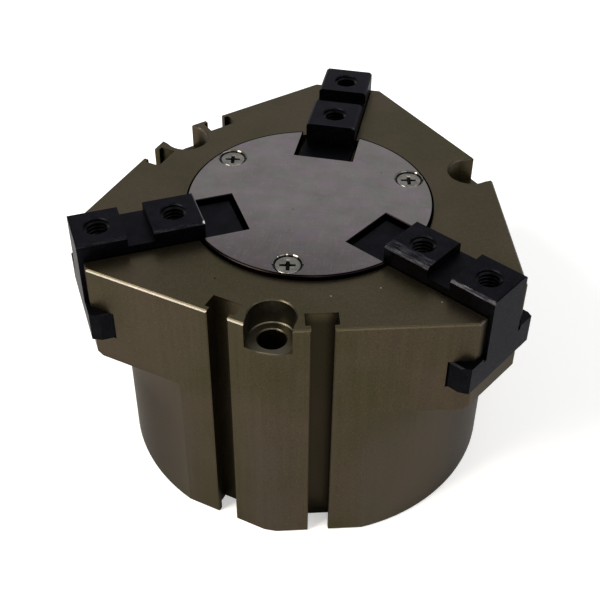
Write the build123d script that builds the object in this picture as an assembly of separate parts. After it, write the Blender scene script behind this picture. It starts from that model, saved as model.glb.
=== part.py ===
"""Three-jaw pneumatic chuck with a wedge-hook drive, one STEP file for each piece.

Origin: centre of the mounting face at the bottom, +Z towards the jaws, millimetres.
The jaws stand at 90, 210 and 330 degrees, the fixing bolts halfway between them.
The jaws are modelled closed, at the inner end of their stroke, with the piston down.
"""

from build123d import *
import math
import os

# Jaw and drive layout
JAW_NAMES = ("a", "b", "c")
FIRST_JAW_ANGLE = 90.0
PITCH_ANGLE = 360.0 / len(JAW_NAMES)
JAW_ANGLES = [FIRST_JAW_ANGLE + PITCH_ANGLE * i for i in range(len(JAW_NAMES))]
MOUNT_ANGLES = [angle + PITCH_ANGLE / 2 for angle in JAW_ANGLES]
JAW_STROKE = 4.0
WEDGE_ANGLE = 25.0
WEDGE_SLOPE = math.tan(math.radians(WEDGE_ANGLE))
PISTON_STROKE = JAW_STROKE / WEDGE_SLOPE

# Clearances
RUNNING_FIT = 0.05
HOOK_PLAY = 0.1
STOP_GAP = 0.15
SEAT_GAP = 0.1
FREE_GAP = 0.3
COVER_PLAY = 0.4

# Stack along the axis, from the mounting face upwards
RING_LAND = 1.2
RING_THICKNESS = 1.75
END_COVER_THICKNESS = 7.4
END_COVER_BOSS = 2.5
PISTON_THICKNESS = 12.5
PISTON_BOSS = 2.0
BUMPER_PROUD = 0.3
WALL_OVER_CHAMBER = 7.1
CAVITY_DEPTH = 26.0
RING_TOP = RING_LAND + RING_THICKNESS
END_COVER_BASE = RING_TOP + RUNNING_FIT
END_COVER_TOP = END_COVER_BASE + END_COVER_THICKNESS
PISTON_BASE = END_COVER_TOP + END_COVER_BOSS + BUMPER_PROUD + STOP_GAP
PISTON_TOP = PISTON_BASE + PISTON_THICKNESS
PISTON_BOSS_TOP = PISTON_TOP + PISTON_BOSS
CHAMBER_TOP = PISTON_BOSS_TOP + PISTON_STROKE + BUMPER_PROUD + STOP_GAP
CAVITY_FLOOR = CHAMBER_TOP + WALL_OVER_CHAMBER
BODY_HEIGHT = CAVITY_FLOOR + CAVITY_DEPTH

# Body
CYLINDER_BORE = 36.0
CYLINDER_WALL = 12.5
FLAT_DEPTH = 1.25
FLAT_TO_MOUNT = 15.0
ARM_END_WIDTH = 18.65
HEAD_THICKNESS = 26.5
BODY_CHAMFER = 0.5
ARM_CHAMFER = 1.0
BODY_RADIUS = CYLINDER_BORE + CYLINDER_WALL
FLAT_DISTANCE = BODY_RADIUS - FLAT_DEPTH
FLAT_TO_JAW = math.radians(PITCH_ANGLE / 2 - FLAT_TO_MOUNT)
JAW_END_DISTANCE = (FLAT_DISTANCE - ARM_END_WIDTH / 2 * math.sin(FLAT_TO_JAW)) / math.cos(FLAT_TO_JAW)
HEAD_BASE = BODY_HEIGHT - HEAD_THICKNESS

# Fixing bolts, M6 socket head screws from above
BOLT_INSET = 5.0
BOLT_HOLE = 3.3
BOLT_HEAD_HOLE = 5.5
BOLT_HEAD_DEPTH = 6.8
FINE_CHAMFER = 0.25
BOLT_CIRCLE = BODY_RADIUS - BOLT_INSET
DOWEL_HOLE = 2.5
DOWEL_DEPTH = 6.0
DOWEL_ANGLE = FIRST_JAW_ANGLE

# Sensor grooves, one in each flat beside two of the fixing bolts
SENSOR_MOUNTS = MOUNT_ANGLES[:2]
SENSOR_OPENING = 5.2
SENSOR_WIDTH = 7.6
SENSOR_LIP = 1.6
SENSOR_DEPTH = 5.6
SENSOR_OFFSET = 0.3

# Air ports, Rc 1/8, one in each flat beside the third fixing bolt
PORT_MOUNT = MOUNT_ANGLES[2]
PORT_RADIUS = 4.3
PORT_DEPTH = 8.0
PORT_DRILL = 1.25
PORT_CHAMFER = 0.6

# Jaw guides in the head
STEM_WIDTH = 13.0
GUIDE_DEPTH = 11.1
GUIDE_HEIGHT = 7.75
GUIDE_WIDTH = 27.5
GUIDE_TOP = BODY_HEIGHT - GUIDE_DEPTH
GUIDE_FLOOR = GUIDE_TOP - GUIDE_HEIGHT

# Cover plate and its countersunk M4 screws
COVER_RADIUS = 30.6
COVER_PROUD = 1.2
COVER_SUNK = 2.0
COVER_SLOT_PLAY = 1.1
COVER_SLOT_LENGTH = 12.6
COVER_EDGE = 0.2
COVER_SLOT_WIDTH = STEM_WIDTH + 2 * COVER_SLOT_PLAY
COVER_SLOT_END = COVER_RADIUS - COVER_SLOT_LENGTH
COVER_BASE = BODY_HEIGHT - COVER_SUNK
COVER_TOP = BODY_HEIGHT + COVER_PROUD
SCREW_INSET = 4.1
SCREW_CIRCLE = COVER_RADIUS - SCREW_INSET
SCREW_LAND = 4.5
CAVITY_RADIUS = SCREW_CIRCLE - SCREW_LAND
SCREW_RADIUS = 2.0
SCREW_HEAD_RADIUS = 3.6
SCREW_SINK = 0.4
SCREW_LENGTH = 10.0
SCREW_TAPPING = 1.65
SCREW_HEAD_TOP = COVER_TOP - SCREW_SINK
SCREW_TIP = SCREW_HEAD_TOP - SCREW_LENGTH
SCREW_SLOT_WIDTH = 1.0
SCREW_SLOT_LENGTH = 4.4
SCREW_SLOT_DEPTH = 1.5

# Master jaws, closed
JAW_OVERHANG = 1.1
JAW_TAIL_GAP = 1.0
JAW_PAD_HEIGHT = 4.7
JAW_KEYWAY_DEPTH = 2.7
JAW_KEYWAY_WIDTH = 6.2
OUTER_PAD_LENGTH = 11.9
INNER_PAD_LENGTH = 12.25
JAW_OUTER_END = JAW_END_DISTANCE + JAW_OVERHANG
JAW_TAIL_END = COVER_SLOT_END + JAW_TAIL_GAP
OUTER_PAD_START = JAW_OUTER_END - OUTER_PAD_LENGTH
INNER_PAD_END = OUTER_PAD_START - JAW_KEYWAY_WIDTH
JAW_PADS = ((INNER_PAD_END - INNER_PAD_LENGTH, INNER_PAD_END), (OUTER_PAD_START, JAW_OUTER_END))
JAW_WING_WIDTH = 26.5
JAW_WING_CHAMFER = 0.4
JAW_WING_LEAD_LENGTH = 2.2
JAW_WING_LEAD_DEPTH = 1.1
JAW_RELIEF = 1.0
JAW_PAD_CHAMFER = 0.6
JAW_HOLE_RADIUS = 3.0
JAW_HOLE_MOUTH = 3.3
JAW_HOLE_DEPTH = 14.0
JAW_BASE = GUIDE_FLOOR + RUNNING_FIT
JAW_WING_TOP = GUIDE_TOP - RUNNING_FIT
JAW_UNDER_COVER = COVER_BASE - COVER_PLAY
JAW_FACE_INSET = 1.4
JAW_FACE_AT_BASE = CAVITY_RADIUS - JAW_FACE_INSET

# Hooks that tie each jaw to the wedge
HOOK_NECK_WIDTH = 7.0
HOOK_NECK_LENGTH = 3.0
HOOK_HEAD_WIDTH = 12.0
HOOK_HEAD_LENGTH = 3.0
HOOK_HEIGHT = 13.5
HOOK_REACH = HOOK_NECK_LENGTH + HOOK_HEAD_LENGTH

# Wedge with its rod
WEDGE_RADIUS = CAVITY_RADIUS - COVER_PLAY
WEDGE_BASE = CAVITY_FLOOR + FREE_GAP
WEDGE_TOP = COVER_BASE - COVER_PLAY - PISTON_STROKE
ROD_RADIUS = 12.45
SPIGOT_RADIUS = 7.0
SPIGOT_LENGTH = 4.0

# Piston, its screw and its rings
PISTON_RADIUS = CYLINDER_BORE - SEAT_GAP
PISTON_SCREW_RADIUS = 4.0
PISTON_SCREW_HEAD = 6.5
PISTON_SCREW_HEAD_HEIGHT = 5.0
PISTON_SCREW_GRIP = 9.0
PISTON_SCREW_SOCKET = 5.0
PISTON_SCREW_SINK = 0.4
WEAR_RING_FROM_BASE = 0.9
WEAR_RING_WIDTH = 2.0
WEAR_RING_DEPTH = 1.6
MAGNET_FROM_BASE = 3.9
MAGNET_WIDTH = 3.0
MAGNET_DEPTH = 3.2
PISTON_SEAL_FROM_BASE = 7.9
PISTON_SEAL_WIDTH = 3.4
PISTON_SEAL_DEPTH = 4.2
BUMPER_INSET = 0.55
BUMPER_WIDTH = 5.0
BUMPER_DEPTH = 1.5
BUMPER_RIM = 2.0
BUMPER_INNER = ROD_RADIUS + BUMPER_INSET
BUMPER_OUTER = BUMPER_INNER + BUMPER_WIDTH
PISTON_BOSS_RADIUS = BUMPER_OUTER + BUMPER_RIM
SPIGOT_SEAL_WIDTH = 2.4
SPIGOT_SEAL_DEPTH = 1.6
SPIGOT_SEAL_BASE = PISTON_BOSS_TOP - (SPIGOT_LENGTH + SPIGOT_SEAL_WIDTH) / 2

# Rod seal, end cover seal and retaining ring
ROD_SEAL_WIDTH = 4.0
ROD_SEAL_DEPTH = 3.6
ROD_SEAL_BASE = CHAMBER_TOP + (WALL_OVER_CHAMBER - ROD_SEAL_WIDTH) / 2
END_COVER_BOSS_RADIUS = PISTON_BOSS_RADIUS + BUMPER_RIM
END_SEAL_WIDTH = 3.2
END_SEAL_DEPTH = 2.4
END_SEAL_BASE = END_COVER_BASE + (END_COVER_THICKNESS - END_SEAL_WIDTH) / 2
RING_GROOVE_DEPTH = 1.7
RING_WIDTH = 4.4
RING_GAP_ANGLE = 26.0
RING_LUG_RADIUS = 4.0
RING_EYE_RADIUS = 1.25

CUT = 1.0
BIG = 3 * JAW_END_DISTANCE


def turned(angle, shape):
    """A shape modelled along +X, turned about the chuck's axis."""
    return Rot(0, 0, angle) * shape


def disc(radius, base, top):
    """A solid cylinder about the chuck's axis between two heights."""
    return Pos(0, 0, base) * Cylinder(radius, top - base, align=(Align.CENTER, Align.CENTER, Align.MIN))


def pillar(x, radius, base, top):
    """A solid cylinder standing at a distance from the axis."""
    return Pos(x, 0, 0) * disc(radius, base, top)


def ring(inner, outer, base, top):
    return disc(outer, base, top) - disc(inner, base - CUT, top + CUT)


def flare(lower, upper, top):
    """A 45 degree cone about the axis that ends at a height."""
    depth = abs(upper - lower)
    return Pos(0, 0, top - depth) * Cone(lower, upper, depth, align=(Align.CENTER, Align.CENTER, Align.MIN))


def block(x_start, x_end, width, base, top):
    """A box along +X, centred on Y."""
    low = (Align.MIN, Align.CENTER, Align.MIN)
    return Pos(x_start, 0, base) * Box(x_end - x_start, width, top - base, align=low)


def side_profile(points, width):
    """A prism with its outline in the XZ plane and its width centred on Y."""
    face = Plane.XZ * make_face(Polyline(*points, close=True))
    return extrude(face, width / 2, both=True)


def jaw_face(height):
    """Distance of the sloping inner face of a closed jaw from the axis."""
    return JAW_FACE_AT_BASE - (height - JAW_BASE) * WEDGE_SLOPE


def sloping_bar(near, far, width, base, top):
    """A bar along the wedge's slope, between two offsets inwards from the jaw's face."""
    points = [
        (jaw_face(base) - far, base),
        (jaw_face(base) - near, base),
        (jaw_face(top) - near, top),
        (jaw_face(top) - far, top),
    ]
    return side_profile(points, width)


# Housing


def flat_frame(mount, side):
    """Turns +X to face straight out of the flat on one side of a fixing bolt."""
    return Rot(0, 0, mount + side * FLAT_TO_MOUNT)


def head_polygon():
    """Plan of the six flats and the three jaw ends, before the corners are rounded."""
    corner = FLAT_DISTANCE / math.cos(math.radians(FLAT_TO_MOUNT))
    points = []
    for jaw, mount in zip(JAW_ANGLES, MOUNT_ANGLES):
        for side in (-ARM_END_WIDTH / 2, ARM_END_WIDTH / 2):
            points.append(Vector(JAW_END_DISTANCE, side).rotate(Axis.Z, jaw))
        points.append(Vector(corner, 0).rotate(Axis.Z, mount))
    return make_face(Polyline(*points, close=True))


def outer_body():
    """Round lower body cut by the flats, under a head with three arms."""
    plan = head_polygon()
    barrel = plan & Circle(BODY_RADIUS)
    arm_reach = math.sqrt(BODY_RADIUS**2 - FLAT_DISTANCE**2)
    arm_side = FLAT_DISTANCE * math.sin(FLAT_TO_JAW) - arm_reach * math.cos(FLAT_TO_JAW)
    arm_width = 2 * arm_side + CUT
    arms = [Rot(0, 0, angle) * Pos(BODY_RADIUS, 0) * Rectangle(BODY_RADIUS, arm_width) for angle in JAW_ANGLES]
    head_plan = plan & (Circle(BODY_RADIUS) + arms)
    head = Pos(0, 0, HEAD_BASE) * extrude(head_plan, HEAD_THICKNESS)
    head = chamfer(head.faces().sort_by(Axis.Z)[-1].edges(), BODY_CHAMFER)
    lower_edges = head.edges().group_by(Axis.Z)[0]
    for angle in JAW_ANGLES:
        arm_axis = Axis((0, 0, 0), Vector(1, 0, 0).rotate(Axis.Z, angle))
        head = chamfer(lower_edges.sort_by(arm_axis)[-1], ARM_CHAMFER)
        lower_edges = head.edges().group_by(Axis.Z)[0]
    lower = extrude(barrel, HEAD_BASE + CUT)
    lower = chamfer(lower.faces().sort_by(Axis.Z)[0].edges(), BODY_CHAMFER)
    return head + lower


def guide_cut():
    """T-shaped jaw guide along +X, with chamfered edges where it opens at the top."""
    channel = block(0, BIG, GUIDE_WIDTH, GUIDE_FLOOR, GUIDE_TOP)
    stem = block(0, BIG, STEM_WIDTH + 2 * RUNNING_FIT, GUIDE_TOP - CUT, BODY_HEIGHT + CUT)
    slot = STEM_WIDTH / 2 + RUNNING_FIT
    edges = [(-slot, BODY_HEIGHT - FINE_CHAMFER), (slot, BODY_HEIGHT - FINE_CHAMFER)]
    edges += [(slot + FINE_CHAMFER, BODY_HEIGHT), (-slot - FINE_CHAMFER, BODY_HEIGHT)]
    opened = extrude(Plane.YZ * make_face(Polyline(*edges, close=True)), BIG)
    return channel + stem + opened


def bolt_cut():
    """Fixing hole along +X with a counterbore that is open to the outside."""
    seat = BODY_HEIGHT - BOLT_HEAD_DEPTH
    hole = pillar(BOLT_CIRCLE, BOLT_HOLE, -CUT, BODY_HEIGHT)
    head = pillar(BOLT_CIRCLE, BOLT_HEAD_HOLE, seat + FINE_CHAMFER, BODY_HEIGHT + CUT)
    mouth = block(BOLT_CIRCLE, BIG, 2 * BOLT_HEAD_HOLE, seat, BODY_HEIGHT + CUT)
    lip = block(BOLT_CIRCLE, BIG, 2 * BOLT_HEAD_HOLE, seat - FINE_CHAMFER, seat)
    lip -= flare(BODY_RADIUS, BODY_RADIUS - FINE_CHAMFER, seat)
    rims = flare(BOLT_HOLE, BOLT_HOLE + FINE_CHAMFER, seat)
    rims += flare(BOLT_HEAD_HOLE - FINE_CHAMFER, BOLT_HEAD_HOLE, seat + FINE_CHAMFER)
    rims += flare(BOLT_HEAD_HOLE, BOLT_HEAD_HOLE + FINE_CHAMFER, BODY_HEIGHT)
    return hole + head + mouth + lip + Pos(BOLT_CIRCLE, 0, 0) * rims


def sensor_cut(side):
    """T-slot over the full height, in the flat on one side of a fixing bolt."""
    half = SENSOR_OPENING / 2
    room = SENSOR_WIDTH / 2
    lip = FLAT_DISTANCE - SENSOR_LIP
    upper = [(FLAT_DISTANCE - SENSOR_DEPTH, room), (lip, room), (lip, half)]
    upper += [(FLAT_DISTANCE - FINE_CHAMFER, half), (FLAT_DISTANCE + CUT, half + FINE_CHAMFER + CUT)]
    lower = [(x, -y) for x, y in reversed(upper)]
    groove = make_face(Polyline(*upper, *lower, close=True))
    return Pos(0, -side * SENSOR_OFFSET, -CUT) * extrude(groove, BODY_HEIGHT + 2 * CUT)


def port_cut(height):
    """Air port along +X: a tapped mouth with a chamfer and a small drilling into the cylinder."""
    mouth = disc(PORT_RADIUS, FLAT_DISTANCE - PORT_DEPTH, BIG) + flare(
        PORT_RADIUS, PORT_RADIUS + PORT_CHAMFER, FLAT_DISTANCE
    )
    drill = disc(PORT_DRILL, CAVITY_RADIUS, FLAT_DISTANCE - PORT_CHAMFER)
    return Pos(0, 0, height) * Rot(0, 90, 0) * (mouth + drill)


def housing():
    body = outer_body()
    body -= disc(CYLINDER_BORE, -CUT, CHAMBER_TOP)
    body -= disc(CYLINDER_BORE + RING_GROOVE_DEPTH, RING_LAND - RUNNING_FIT, RING_TOP + RUNNING_FIT)
    body -= disc(ROD_RADIUS + RUNNING_FIT, CHAMBER_TOP - CUT, CAVITY_FLOOR + CUT)
    body -= disc(ROD_RADIUS + ROD_SEAL_DEPTH, ROD_SEAL_BASE, ROD_SEAL_BASE + ROD_SEAL_WIDTH)
    body -= disc(CAVITY_RADIUS, CAVITY_FLOOR, BODY_HEIGHT + CUT)
    body -= disc(COVER_RADIUS + SEAT_GAP, COVER_BASE, BODY_HEIGHT + CUT)
    for angle in JAW_ANGLES:
        body -= turned(angle, guide_cut())
    for angle in MOUNT_ANGLES:
        body -= turned(angle, bolt_cut())
        body -= turned(angle, pillar(SCREW_CIRCLE, SCREW_TAPPING + RUNNING_FIT, SCREW_TIP - CUT, BODY_HEIGHT))
    for mount in SENSOR_MOUNTS:
        for side in (-1, 1):
            body -= flat_frame(mount, side) * sensor_cut(side)
    low_port = (END_COVER_TOP + PISTON_BASE) / 2
    high_port = CHAMBER_TOP - PORT_DRILL
    body -= flat_frame(PORT_MOUNT, -1) * port_cut(low_port)
    body -= flat_frame(PORT_MOUNT, 1) * port_cut(high_port)
    body -= turned(DOWEL_ANGLE, pillar(BOLT_CIRCLE, DOWEL_HOLE, -CUT, DOWEL_DEPTH))
    return body


# Cover plate and its screws


def screw_cone(play, sink):
    """Countersunk cone of a cover screw on the axis, with play all round, sunk below the plate."""
    return flare(SCREW_RADIUS + play, SCREW_HEAD_RADIUS - sink + play, COVER_TOP - sink)


def cover_plate():
    plate = disc(COVER_RADIUS, COVER_BASE, COVER_TOP)
    for angle in JAW_ANGLES:
        slot = block(COVER_SLOT_END, BIG, COVER_SLOT_WIDTH, COVER_BASE - CUT, COVER_TOP + CUT)
        plate -= turned(angle, slot)
    plate = chamfer(plate.faces().sort_by(Axis.Z)[-1].edges(), COVER_EDGE)
    for angle in MOUNT_ANGLES:
        hole = pillar(0, SCREW_RADIUS + SEAT_GAP, COVER_BASE - CUT, COVER_TOP) + screw_cone(SEAT_GAP, 0)
        plate -= turned(angle, Pos(SCREW_CIRCLE, 0, 0) * hole)
    return plate


def cover_screw():
    """Countersunk screw with a cross recess, at its place along +X."""
    core = disc(SCREW_RADIUS, COVER_BASE, SCREW_HEAD_TOP) + disc(SCREW_TAPPING, SCREW_TIP, COVER_BASE)
    screw = core + screw_cone(0, SCREW_SINK)
    for turn in (0, 90):
        arm = block(-SCREW_SLOT_LENGTH / 2, SCREW_SLOT_LENGTH / 2, SCREW_SLOT_WIDTH, -SCREW_SLOT_DEPTH, CUT)
        screw -= Pos(0, 0, SCREW_HEAD_TOP) * Rot(0, 0, turn) * arm
    return Pos(SCREW_CIRCLE, 0, 0) * screw


# Master jaws


def jaw_outline():
    """Side view of the stem: tail, two pads with a keyway between them, outer end."""
    (inner_start, inner_end), (outer_start, outer_end) = JAW_PADS
    pad_top = BODY_HEIGHT + JAW_PAD_HEIGHT
    keyway = pad_top - JAW_KEYWAY_DEPTH
    return [
        (jaw_face(JAW_BASE), JAW_BASE),
        (jaw_face(JAW_UNDER_COVER), JAW_UNDER_COVER),
        (JAW_TAIL_END, JAW_UNDER_COVER),
        (JAW_TAIL_END, BODY_HEIGHT),
        (inner_start, BODY_HEIGHT),
        (inner_start, pad_top),
        (inner_end, pad_top),
        (inner_end, keyway),
        (outer_start, keyway),
        (outer_start, pad_top),
        (outer_end, pad_top),
        (outer_end, JAW_BASE),
    ]


def jaw_wings():
    """Flange that runs in the T-guide, with chamfered upper edges and a lead at its outer corners."""
    wings = side_profile(
        [
            (jaw_face(JAW_BASE), JAW_BASE),
            (jaw_face(JAW_WING_TOP), JAW_WING_TOP),
            (JAW_OUTER_END, JAW_WING_TOP),
            (JAW_OUTER_END, JAW_BASE),
        ],
        JAW_WING_WIDTH,
    )
    upper = wings.edges().filter_by(Axis.X).group_by(Axis.Z)[-1]
    wings = chamfer(upper, JAW_WING_CHAMFER)
    half = JAW_WING_WIDTH / 2
    lead_start = JAW_OUTER_END - JAW_WING_LEAD_LENGTH
    side = [(0, half), (lead_start, half), (JAW_OUTER_END, half - JAW_WING_LEAD_DEPTH)]
    other_side = [(x, -y) for x, y in reversed(side)]
    return wings & extrude(make_face(Polyline(*side, *other_side, close=True)), BODY_HEIGHT)


def jaw_hole(centre):
    """M6 tapped hole at its thread's outer radius, with a countersunk mouth."""
    top = BODY_HEIGHT + JAW_PAD_HEIGHT
    hole = disc(JAW_HOLE_RADIUS, top - JAW_HOLE_DEPTH, top) + flare(JAW_HOLE_RADIUS, JAW_HOLE_MOUTH, top)
    return Pos(centre, 0, 0) * hole


def master_jaw():
    """One jaw along +X, closed."""
    stem = side_profile(jaw_outline(), STEM_WIDTH)
    pad_edges = stem.faces().filter_by(Axis.Z).group_by(Axis.Z)[-1].edges().filter_by(Axis.X)
    stem = chamfer(pad_edges, JAW_PAD_CHAMFER)
    jaw = stem + jaw_wings()
    for side in (-1, 1):
        corner = side * (STEM_WIDTH / 2 + JAW_RELIEF / 2)
        groove = block(0, BIG, JAW_RELIEF, JAW_WING_TOP - JAW_RELIEF, JAW_WING_TOP + CUT)
        jaw -= Pos(0, corner, 0) * groove
    for start, end in JAW_PADS:
        jaw -= jaw_hole((start + end) / 2)
    top = JAW_BASE + HOOK_HEIGHT
    neck = sloping_bar(-CUT, HOOK_REACH, HOOK_NECK_WIDTH, JAW_BASE, top)
    head = sloping_bar(HOOK_NECK_LENGTH, HOOK_REACH, HOOK_HEAD_WIDTH, JAW_BASE, top)
    return jaw + neck + head


# Wedge, piston and their rings


def wedge_slot():
    """Sloping face along +X with the T-slot that holds a jaw's hook."""
    base = WEDGE_BASE - CUT
    top = WEDGE_TOP + CUT
    face = sloping_bar(-BIG, FREE_GAP, BIG, base, top)
    neck = sloping_bar(0, HOOK_REACH, HOOK_NECK_WIDTH + 2 * HOOK_PLAY, base, top)
    head = sloping_bar(
        HOOK_NECK_LENGTH - HOOK_PLAY, HOOK_REACH + HOOK_PLAY, HOOK_HEAD_WIDTH + 2 * HOOK_PLAY, base, top
    )
    return face + neck + head


def wedge_hub():
    """Wedge with three hooked slopes and the piston rod in one piece."""
    spigot_end = PISTON_BOSS_TOP - SPIGOT_LENGTH
    hub = disc(WEDGE_RADIUS, WEDGE_BASE, WEDGE_TOP)
    for angle in JAW_ANGLES:
        hub -= turned(angle, wedge_slot())
    hub += disc(ROD_RADIUS, PISTON_BOSS_TOP, WEDGE_BASE + CUT)
    hub += disc(SPIGOT_RADIUS, spigot_end, PISTON_BOSS_TOP)
    bed = SPIGOT_RADIUS - SPIGOT_SEAL_DEPTH
    hub -= ring(bed, SPIGOT_RADIUS + CUT, SPIGOT_SEAL_BASE, SPIGOT_SEAL_BASE + SPIGOT_SEAL_WIDTH)
    tapped = spigot_end + PISTON_SCREW_GRIP + SPIGOT_LENGTH
    return hub - disc(PISTON_SCREW_RADIUS, spigot_end - CUT, tapped)


def piston_groove(start, width, depth):
    base = PISTON_BASE + start
    return ring(PISTON_RADIUS - depth, PISTON_RADIUS + CUT, base, base + width)


def piston():
    body = disc(PISTON_RADIUS, PISTON_BASE, PISTON_TOP) + disc(PISTON_BOSS_RADIUS, PISTON_TOP, PISTON_BOSS_TOP)
    body -= piston_groove(WEAR_RING_FROM_BASE, WEAR_RING_WIDTH, WEAR_RING_DEPTH)
    body -= piston_groove(MAGNET_FROM_BASE, MAGNET_WIDTH, MAGNET_DEPTH)
    body -= piston_groove(PISTON_SEAL_FROM_BASE, PISTON_SEAL_WIDTH, PISTON_SEAL_DEPTH)
    body -= disc(SPIGOT_RADIUS + RUNNING_FIT, PISTON_BOSS_TOP - SPIGOT_LENGTH - RUNNING_FIT, PISTON_BOSS_TOP + CUT)
    body -= disc(PISTON_SCREW_RADIUS + SEAT_GAP, PISTON_BASE - CUT, PISTON_TOP)
    body -= ring(BUMPER_INNER, BUMPER_OUTER, PISTON_BASE - CUT, PISTON_BASE + BUMPER_DEPTH)
    body -= ring(BUMPER_INNER, BUMPER_OUTER, PISTON_BOSS_TOP - BUMPER_DEPTH, PISTON_BOSS_TOP + CUT)
    seat = PISTON_BASE + PISTON_SCREW_SINK + PISTON_SCREW_HEAD_HEIGHT
    return body - disc(PISTON_SCREW_HEAD + FREE_GAP, PISTON_BASE - CUT, seat)


def piston_screw():
    """Low-head socket screw that holds the piston on the rod."""
    head_base = PISTON_BASE + PISTON_SCREW_SINK
    seat = head_base + PISTON_SCREW_HEAD_HEIGHT
    tip = PISTON_BOSS_TOP + PISTON_SCREW_GRIP - CUT
    screw = disc(PISTON_SCREW_HEAD, head_base, seat) + disc(PISTON_SCREW_RADIUS, seat, tip)
    hexagon = RegularPolygon(PISTON_SCREW_SOCKET / 2, 6, major_radius=False)
    socket = extrude(hexagon, PISTON_SCREW_HEAD_HEIGHT / 2 + CUT)
    return screw - Pos(0, 0, head_base - CUT) * socket


def bumper(seat, proud):
    """Flat cushion ring between its seat in the piston and its free face."""
    return ring(BUMPER_INNER + SEAT_GAP, BUMPER_OUTER - SEAT_GAP, min(seat, proud), max(seat, proud))


def piston_ring(start, width, depth):
    """A ring that fills one of the piston's grooves and runs in the bore."""
    base = PISTON_BASE + start
    inner = PISTON_RADIUS - depth + RUNNING_FIT
    outer = CYLINDER_BORE - RUNNING_FIT
    return ring(inner, outer, base + RUNNING_FIT, base + width - RUNNING_FIT)


def piston_seal():
    """Double-lipped seal, hollowed between its lips on the upper side."""
    body = piston_ring(PISTON_SEAL_FROM_BASE, PISTON_SEAL_WIDTH, PISTON_SEAL_DEPTH)
    top = PISTON_BASE + PISTON_SEAL_FROM_BASE + PISTON_SEAL_WIDTH
    middle = PISTON_RADIUS - PISTON_SEAL_DEPTH / 2
    quarter = PISTON_SEAL_WIDTH / 4
    return body - ring(middle - quarter, middle + quarter, top - 2 * quarter, top + CUT)


def rod_seal():
    """Lipped seal in the wall over the chamber, round the rod."""
    inner = ROD_RADIUS + RUNNING_FIT
    outer = ROD_RADIUS + ROD_SEAL_DEPTH - RUNNING_FIT
    base = ROD_SEAL_BASE + RUNNING_FIT
    top = ROD_SEAL_BASE + ROD_SEAL_WIDTH - RUNNING_FIT
    middle = (inner + outer) / 2
    quarter = ROD_SEAL_DEPTH / 5
    return ring(inner, outer, base, top) - ring(middle - quarter, middle + quarter, base - CUT, base + 2 * quarter)


def end_cover():
    """Plug that closes the cylinder, with a boss that stops the piston."""
    plug = disc(CYLINDER_BORE - RUNNING_FIT, END_COVER_BASE, END_COVER_TOP)
    plug = chamfer(plug.edges().filter_by(GeomType.CIRCLE).sort_by(Axis.Z)[0], BODY_CHAMFER)
    plug += disc(END_COVER_BOSS_RADIUS, END_COVER_TOP, END_COVER_TOP + END_COVER_BOSS)
    bed = CYLINDER_BORE - END_SEAL_DEPTH
    return plug - ring(bed, CYLINDER_BORE + CUT, END_SEAL_BASE, END_SEAL_BASE + END_SEAL_WIDTH)


def o_ring(outer, depth, centre):
    """O-ring in a groove of the given depth below a cylinder of the outer radius."""
    section = depth / 2 - RUNNING_FIT
    return Pos(0, 0, centre) * Torus(outer - depth / 2, section)


def retaining_ring():
    """Internal snap ring with two eyed lugs beside its gap, in the groove under the end cover."""
    outer = CYLINDER_BORE + RING_GROOVE_DEPTH - RUNNING_FIT
    inner = outer - RING_WIDTH
    clip = ring(inner, outer, RING_LAND, RING_TOP)
    gap = BIG * math.tan(math.radians(RING_GAP_ANGLE / 2))
    wedge = make_face(Polyline((0, 0), (BIG, -gap), (BIG, gap), close=True))
    clip -= Pos(0, 0, -CUT) * extrude(wedge, BODY_HEIGHT)
    lug_angle = RING_GAP_ANGLE / 2 + math.degrees(math.asin(RING_LUG_RADIUS / inner))
    for side in (-1, 1):
        lug = pillar(inner, RING_LUG_RADIUS, RING_LAND, RING_TOP)
        clip += turned(side * lug_angle, lug)
    for side in (-1, 1):
        clip -= turned(side * lug_angle, pillar(inner - CUT, RING_EYE_RADIUS, -CUT, BODY_HEIGHT))
    return turned(MOUNT_ANGLES[1], clip)


def pieces():
    """Every piece of the chuck by its node name."""
    made = {
        "housing": housing(),
        "cover_plate": cover_plate(),
        "wedge_hub": wedge_hub(),
        "piston": piston(),
        "piston_screw": piston_screw(),
        "piston_seal": piston_seal(),
        "piston_wear_ring": piston_ring(WEAR_RING_FROM_BASE, WEAR_RING_WIDTH, WEAR_RING_DEPTH),
        "piston_magnet": ring(
            PISTON_RADIUS - MAGNET_DEPTH + RUNNING_FIT,
            PISTON_RADIUS - RUNNING_FIT,
            PISTON_BASE + MAGNET_FROM_BASE + RUNNING_FIT,
            PISTON_BASE + MAGNET_FROM_BASE + MAGNET_WIDTH - RUNNING_FIT,
        ),
        "rod_seal": rod_seal(),
        "end_cover": end_cover(),
        "end_cover_seal": o_ring(CYLINDER_BORE, END_SEAL_DEPTH, END_SEAL_BASE + END_SEAL_WIDTH / 2),
        "spigot_seal": o_ring(SPIGOT_RADIUS, SPIGOT_SEAL_DEPTH, SPIGOT_SEAL_BASE + SPIGOT_SEAL_WIDTH / 2),
        "bumper_lower": bumper(PISTON_BASE + BUMPER_DEPTH, PISTON_BASE - BUMPER_PROUD),
        "bumper_upper": bumper(PISTON_BOSS_TOP - BUMPER_DEPTH, PISTON_BOSS_TOP + BUMPER_PROUD),
        "retaining_ring": retaining_ring(),
    }
    jaw = master_jaw()
    for name, angle in zip(JAW_NAMES, JAW_ANGLES):
        made["master_jaw_" + name] = turned(angle, jaw)
    screw = cover_screw()
    for number, angle in enumerate(MOUNT_ANGLES, start=1):
        made["cover_screw_%d" % number] = turned(angle, screw)
    return made


os.makedirs("parts", exist_ok=True)
for node, shape in pieces().items():
    export_step(shape, "parts/%s.step" % node)
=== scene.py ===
"""Looks of a three-jaw pneumatic chuck: hard anodised body, ground cover plate, blackened jaws."""

import math

import bmesh
import bpy
from mathutils import Matrix, Vector


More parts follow.
